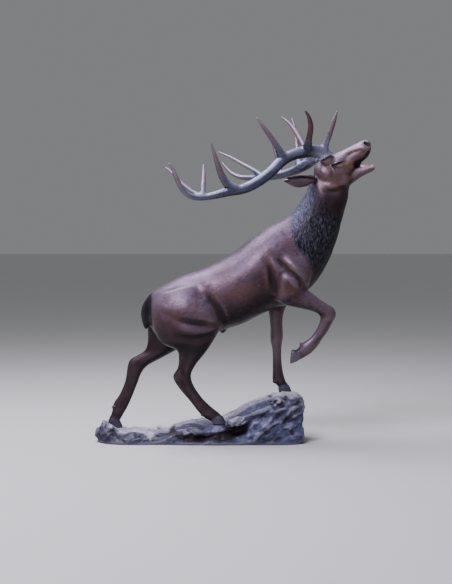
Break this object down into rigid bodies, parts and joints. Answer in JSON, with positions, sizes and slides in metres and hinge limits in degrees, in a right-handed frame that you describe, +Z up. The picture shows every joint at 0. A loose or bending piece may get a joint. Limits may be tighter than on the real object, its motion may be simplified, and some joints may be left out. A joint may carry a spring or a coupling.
{
  "type": "bronze stag sculpture",
  "caption": "Life-size roaring bronze stag with one foreleg raised and branching antlers, standing on a cast rock base.",
  "frame": {"origin": "on the underside of the rock base, below the middle of its length and depth", "axes": "+X is the way the stag faces, +Z is up, +Y is towards its left side"},
  "size_m": [1.7617, 0.9595, 2.0589],
  "materials": {
    "body_bronze": "warm brown patina over cast bronze, with darker hollows and a soft waxed sheen",
    "antler_bronze": "silvery grey patina over cast bronze, brown at the tips and dark below",
    "rock_bronze": "slate grey patina over cast bronze, pale on raised edges and dark brown in hollows"
  },
  "bodies": {
    "root": {"stag": "body_bronze", "antler_right": "antler_bronze", "antler_left": "antler_bronze", "rock_base": "rock_bronze"}
  },
  "joints": []
}
